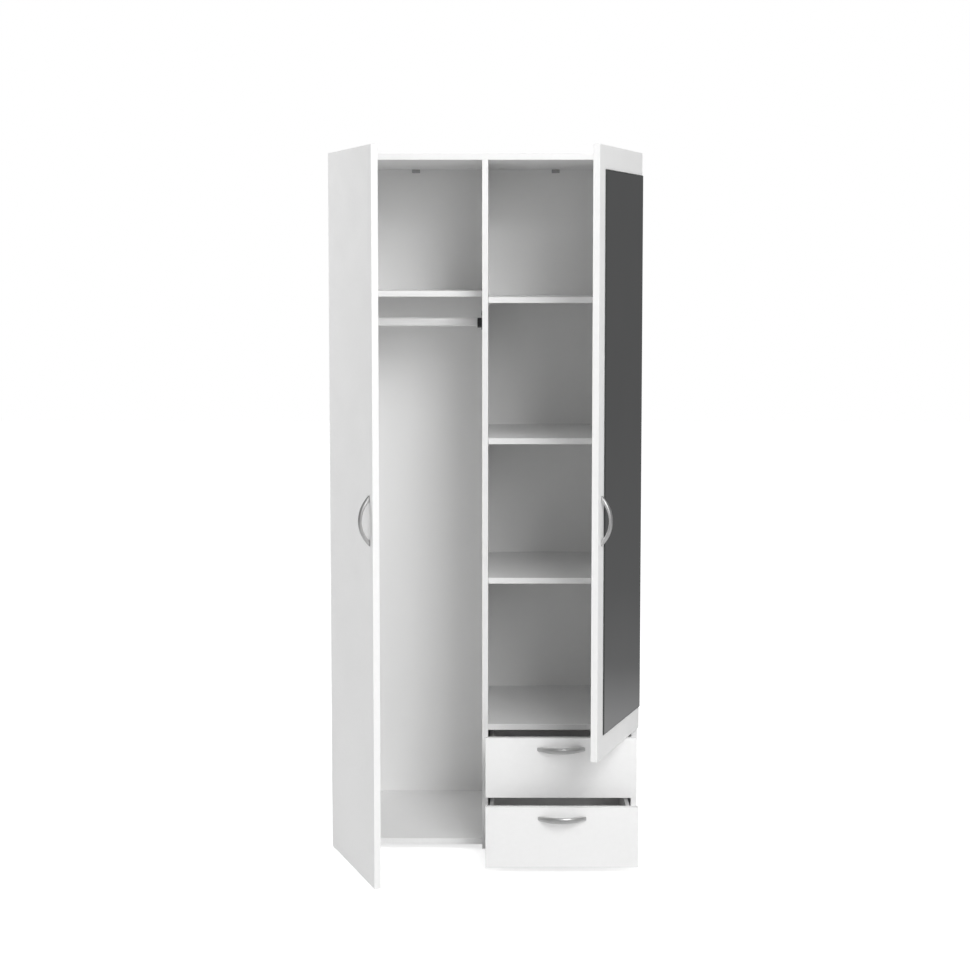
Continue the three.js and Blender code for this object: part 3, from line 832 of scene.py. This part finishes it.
# ---------------------------------------------------------------- clothes rail and its cradles
RAIL_WALL = 1.2 * MM
RAIL_SOFT = 0.3 * MM
RAIL_STEPS = 14
RAIL_SMOOTH_BELOW = 50.0
CRADLE = {
    "clear": 0.3 * MM,  # round the rail
    "thick": 3.9 * MM,
    "below_top": 1.0 * MM,  # its rims under the rail's top
    "past_node": 1.3 * MM,  # its nose past the CAD part
    "soft": 0.6 * MM,
    "steps": 18,
}
CRADLE_PLATE = {
    "width": 16 * MM,
    "rows": [(0.0, 0.0), (1.9, 0.0), (2.5, 0.6)],  # distance off the wall and inset, in millimetres
    "steps": 12,
}
CRADLE_SCREW = {
    "below_top": 8.5 * MM,
    "above_bottom": 3.6 * MM,
    "off_wall": 2.4 * MM,
    "radius": 3.2 * MM,
    "height": 1.4 * MM,
    "spin": 0.5,
}


def add_rail():
    """The rail's oval tube, open through its whole length."""
    low, high, middle = rest_box("clothes_rail")
    width, height = high.y - low.y, high.z - low.z
    rings = []
    for inset, x in (
        (RAIL_WALL, low.x),
        (RAIL_SOFT, low.x),
        (0, low.x + RAIL_SOFT),
        (0, high.x - RAIL_SOFT),
        (RAIL_SOFT, high.x),
        (RAIL_WALL, high.x),
        (RAIL_WALL, low.x),
    ):
        ring = upright_oval(width - 2 * inset, height - 2 * inset, RAIL_STEPS)
        rings.append([Vector((x, middle.y + a, middle.z + b)) for a, b in ring])
    bm = bmesh.new()
    loft(bm, rings, closed_ends=False)
    tube = make_object("clothes_rail_tube", bm, "rail", "carcass", RAIL_SMOOTH_BELOW)
    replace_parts(tube, "clothes_rail")


def u_shape(half, bottom, rim):
    """Points from one rim down round the bottom and up to the other rim."""
    turns = [math.pi + math.pi * i / CRADLE["steps"] for i in range(CRADLE["steps"] + 1)]
    round_points = [(half * math.cos(a), bottom + half * math.sin(a)) for a in turns]
    return [(-half, rim)] + round_points + [(half, rim)]


def add_cradle(node, inward):
    """An open-topped cradle with an oval plate on the wall, and the two screws in the plate."""
    low, high, middle = rest_box(node)
    rail_low, rail_high, rail_middle = rest_box("clothes_rail")
    wall = low.x if inward > 0 else high.x
    rail_half = (rail_high.y - rail_low.y) / 2
    clear = rail_half + CRADLE["clear"]
    outer = clear + CRADLE["thick"]
    rim = rail_high.z - CRADLE["below_top"] - rail_middle.z
    bottom = rail_half - (rail_high.z - rail_low.z) / 2
    nose = wall + inward * (high.x - low.x + CRADLE["past_node"])
    soft = CRADLE["soft"]
    bm = bmesh.new()
    rows = []
    for x, inset in ((wall, 0.0), (nose - inward * soft, 0.0), (nose, soft)):
        outside = u_shape(outer - inset, bottom, rim)
        inside = u_shape(clear + inset, bottom, rim)
        shape = outside + inside[::-1]
        rows.append([Vector((x, rail_middle.y + a, rail_middle.z + b)) for a, b in shape])
    loft(bm, rows)
    width, height = CRADLE_PLATE["width"], high.z - low.z
    rows = []
    for x, inset in scaled(CRADLE_PLATE["rows"]):
        oval = upright_oval(width - 2 * inset, height - 2 * inset, CRADLE_PLATE["steps"])
        rows.append([Vector((wall + inward * x, rail_middle.y + a, middle.z + b)) for a, b in oval])
    loft(bm, rows)
    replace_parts(make_object(node + "_cradle", bm, "dark_plastic", "carcass"), node)

    bm = bmesh.new()
    for z in (high.z - CRADLE_SCREW["below_top"], low.z + CRADLE_SCREW["above_bottom"]):
        place = (wall + inward * CRADLE_SCREW["off_wall"], rail_middle.y, z)
        at = frame_at(place, (inward, 0, 0), CRADLE_SCREW["spin"])
        screw_head(bm, at, CRADLE_SCREW["radius"], CRADLE_SCREW["height"])
    make_object(node + "_screws", bm, "hinge_steel", "carcass")


add_rail()
add_cradle("rail_socket_left", 1)
add_cradle("rail_socket_right", -1)


# ---------------------------------------------------------------- mirror
GLASS = {"bevel": 2.6 * MM, "bevel_drop": 0.9 * MM, "back_edge": 0.4 * MM}
GLASS_SMOOTH_BELOW = 5.0
FACES_FRONT = 0.99  # least cosine between a face and the glass's outward direction


def add_mirror():
    """Glass with a narrow ground bevel round its face."""
    joint = "right_door_hinge"
    low, high, _ = shut_box("mirror", joint)
    rings = []
    for y, inset in (
        (high.y, GLASS["back_edge"]),
        (high.y - GLASS["back_edge"], 0.0),
        (low.y + GLASS["bevel_drop"], 0.0),
        (low.y, GLASS["bevel"]),
    ):
        rings.append([
            Vector((low.x + inset, y, low.z + inset)),
            Vector((high.x - inset, y, low.z + inset)),
            Vector((high.x - inset, y, high.z - inset)),
            Vector((low.x + inset, y, high.z - inset)),
        ])
    bm = bmesh.new()
    loft(bm, rings)
    bmesh.ops.transform(bm, matrix=joint_turn(joint), verts=bm.verts)
    glass = make_object("mirror_glass", bm, "mirror_glass", "right_door_body", GLASS_SMOOTH_BELOW)
    glass.data.materials.append(MATERIALS["mirror_rim"])
    outward = joint_turn(joint).to_3x3() @ Vector((0, -1, 0))
    for face in glass.data.polygons:
        face.material_index = 0 if face.normal.dot(outward) > FACES_FRONT else 1
    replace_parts(glass, "mirror")


add_mirror()


# ---------------------------------------------------------------- small fixings
COVERED_PANELS = ("hat_shelf", "drawer_top_shelf", "bottom_panel_left", "bottom_panel_right")
COVER_PROFILE = [(7.5, 0.0), (7.5, 0.35), (7.0, 0.6)]  # radius, height, in millimetres
COVER = {"from_end": 34 * MM, "from_front": 50 * MM, "from_back": 60 * MM, "top_from_back": 74 * MM}
RUNNER_SCREW = {
    "radius": 2.6 * MM,
    "height": 1.1 * MM,
    "sunk": 0.9 * MM,
    "shares": (0.08, 0.5, 0.92),  # of the runner's length
    "spin": 5,  # radians for a whole share
}
CORNER_SCREW = {
    "radius": 3.2 * MM,
    "height": 1.0 * MM,
    "sunk": 0.4 * MM,
    "from_edge": 16 * MM,
    "from_back": 5 * MM,
    "spin": 900,  # radians for a metre of height, so that no two recesses line up
}


def add_cam_covers():
    """Round covers on the undersides of the fixed panels and of the top."""
    bm = bmesh.new()

    def cover(x, y, z):
        lathe(bm, scaled(COVER_PROFILE), frame_at((x, y, z), (0, 0, -1)))

    for panel in COVERED_PANELS:
        low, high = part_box(panel)
        for x in (low.x + COVER["from_end"], high.x - COVER["from_end"]):
            for y in (low.y + COVER["from_front"], high.y - COVER["from_back"]):
                cover(x, y, low.z)
    low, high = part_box("top_panel")
    left_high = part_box("left_side")[1]
    partition_low, partition_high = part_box("centre_partition")
    right_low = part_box("right_side")[0]
    for edge, inward in ((left_high.x, 1), (partition_low.x, -1), (partition_high.x, 1), (right_low.x, -1)):
        for y in (low.y + COVER["from_front"], high.y - COVER["top_from_back"]):
            cover(edge + inward * COVER["from_end"], y, left_high.z)
    make_object("cam_covers", bm, "white_plastic", "carcass")


def add_runner_screws():
    bm = bmesh.new()
    for word in ("lower", "upper"):
        for side_word, side in (("left", 1), ("right", -1)):
            low, high, middle = rest_box(f"{word}_runner_{side_word}")
            face = high.x if side > 0 else low.x
            for share in RUNNER_SCREW["shares"]:
                y = low.y + (high.y - low.y) * share
                place = (face - side * RUNNER_SCREW["sunk"], y, middle.z)
                at = frame_at(place, (side, 0, 0), share * RUNNER_SCREW["spin"])
                screw_head(bm, at, RUNNER_SCREW["radius"], RUNNER_SCREW["height"])
    make_object("runner_screws", bm, "hinge_steel", "carcass")


def add_corner_screws(word):
    """The screws through a drawer's sides into its back."""
    bm = bmesh.new()
    for side_word, side in (("left", -1), ("right", 1)):
        low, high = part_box(f"{word}_drawer_side_{side_word}")
        face = low.x if side < 0 else high.x
        for z in (low.z + CORNER_SCREW["from_edge"], high.z - CORNER_SCREW["from_edge"]):
            place = (face - side * CORNER_SCREW["sunk"], high.y - CORNER_SCREW["from_back"], z)
            at = frame_at(place, (side, 0, 0), z * CORNER_SCREW["spin"])
            screw_head(bm, at, CORNER_SCREW["radius"], CORNER_SCREW["height"])
    make_object(f"{word}_drawer_screws", bm, "hinge_steel", f"{word}_drawer")


add_cam_covers()
add_runner_screws()
add_corner_screws("lower")
add_corner_screws("upper")


# ---------------------------------------------------------------- camera
camera_data = bpy.data.cameras.new("camera")
camera = bpy.data.objects.new("camera", camera_data)
bpy.context.scene.collection.objects.link(camera)
bpy.context.scene.camera = camera
camera_data.sensor_width = 36.0
camera_data.lens = 71.822
camera_data.shift_y = -0.05
camera_data.clip_end = 100.0
camera.location = (0.02084, -5.05224, 1.46037)
camera.rotation_euler = (math.radians(90 - 4.832), 0.0, math.radians(0.252))


# ---------------------------------------------------------------- lights
def area_light(name, azimuth, elevation, distance, size, power, target=(0, 0, 0.9)):
    """A rectangular light that looks at target. Azimuth is 0 in front and grows to the object's +X side."""
    data = bpy.data.lights.new(name, "AREA")
    data.shape = "RECTANGLE"
    data.size, data.size_y = size
    data.energy = power
    obj = bpy.data.objects.new(name, data)
    bpy.context.scene.collection.objects.link(obj)
    a, e = math.radians(azimuth), math.radians(elevation)
    away = Vector((math.sin(a) * math.cos(e), -math.cos(a) * math.cos(e), math.sin(e)))
    obj.location = Vector(target) + away * distance
    obj.rotation_euler = (-away).to_track_quat("-Z", "Y").to_euler()
    return obj


area_light("key_light", 22.5, 34, 6.0, (2.6, 2.6), 142)
area_light("low_light", 15, 16, 9.0, (2.6, 2.6), 110)
left_light = area_light("left_light", -108, 34, 3.2, (1.6, 1.2), 48, target=(-0.45, -0.4, 1.1))
left_light.visible_glossy = False


# ---------------------------------------------------------------- world
WHITE = (1, 1, 1, 1)
FILL_STRENGTH = 0.46
GLOSS_SPAN = (-0.6, 0.4)  # the ray's height, from one end of the ramp to the other
GLOSS_STOPS = [  # what mirrors and gloss see of the room: dark over the horizon, lighter floor under it
    (0.0, 0.5),
    (0.3, 0.42),
    (0.375, 0.238),
    (0.40, 0.135),
    (0.44, 0.106),
    (0.53, 0.0935),
    (1.0, 0.088),
]
GLOSS_BLUE = 1.01

world = bpy.data.worlds.new("studio")
bpy.context.scene.world = world
world.use_nodes = True
world_nodes = world.node_tree.nodes
join = world.node_tree.links.new
world_nodes.clear()


def background(strength):
    node = world_nodes.new("ShaderNodeBackground")
    node.inputs["Color"].default_value = WHITE
    node.inputs["Strength"].default_value = strength
    return node


def choose(factor, otherwise, chosen):
    """The chosen shader for the rays that factor marks."""
    node = world_nodes.new("ShaderNodeMixShader")
    join(factor, node.inputs[0])
    join(otherwise.outputs[0], node.inputs[1])
    join(chosen.outputs[0], node.inputs[2])
    return node


rays = world_nodes.new("ShaderNodeLightPath")
way = world_nodes.new("ShaderNodeTexCoord")
split = world_nodes.new("ShaderNodeSeparateXYZ")
join(way.outputs["Generated"], split.inputs[0])
height = world_nodes.new("ShaderNodeMapRange")
join(split.outputs["Z"], height.inputs["Value"])
height.inputs["From Min"].default_value, height.inputs["From Max"].default_value = GLOSS_SPAN
ramp = world_nodes.new("ShaderNodeValToRGB")
set_ramp(ramp, [(place, (grey, grey, grey * GLOSS_BLUE)) for place, grey in GLOSS_STOPS])
join(height.outputs[0], ramp.inputs["Fac"])
gloss = background(1.0)
join(ramp.outputs["Color"], gloss.inputs["Color"])
lit = choose(rays.outputs["Is Glossy Ray"], background(FILL_STRENGTH), gloss)
seen = choose(rays.outputs["Is Camera Ray"], lit, background(1.0))
join(seen.outputs[0], world_nodes.new("ShaderNodeOutputWorld").inputs[0])

bpy.context.scene.view_settings.view_transform = "Standard"
bpy.context.scene.view_settings.look = "None"


# ---------------------------------------------------------------- floor
FLOOR_HALF = 14.0
FLOOR_GLOW = 0.66  # lifts the floor to white where nothing shades it


def make_floor():
    """A near-white floor that glows to the camera alone."""
    tree = Tree("floor")
    tone = tree.noise(3.0, 3.0)
    material = tree.finish(
        tree.ramp(tone, (0.3, (0.93, 0.93, 0.93)), (0.7, (0.95, 0.95, 0.95))),
        tree.span(tree.noise(20.0), 0.55, 0.65),
        Emission_Color=WHITE,
    )
    rays = tree.add("ShaderNodeLightPath")
    glow = tree.span(rays.outputs["Is Camera Ray"], 0.0, FLOOR_GLOW, 0.0, 1.0)
    tree.link(glow, tree.shader.inputs["Emission Strength"])
    return material


floor_mesh = bpy.data.meshes.new("floor")
bm = bmesh.new()
bmesh.ops.create_grid(bm, x_segments=2, y_segments=2, size=FLOOR_HALF)
bm.to_mesh(floor_mesh)
bm.free()
floor_mesh.materials.append(make_floor())
floor = bpy.data.objects.new("floor", floor_mesh)
bpy.context.scene.collection.objects.link(floor)
floor.visible_glossy = False
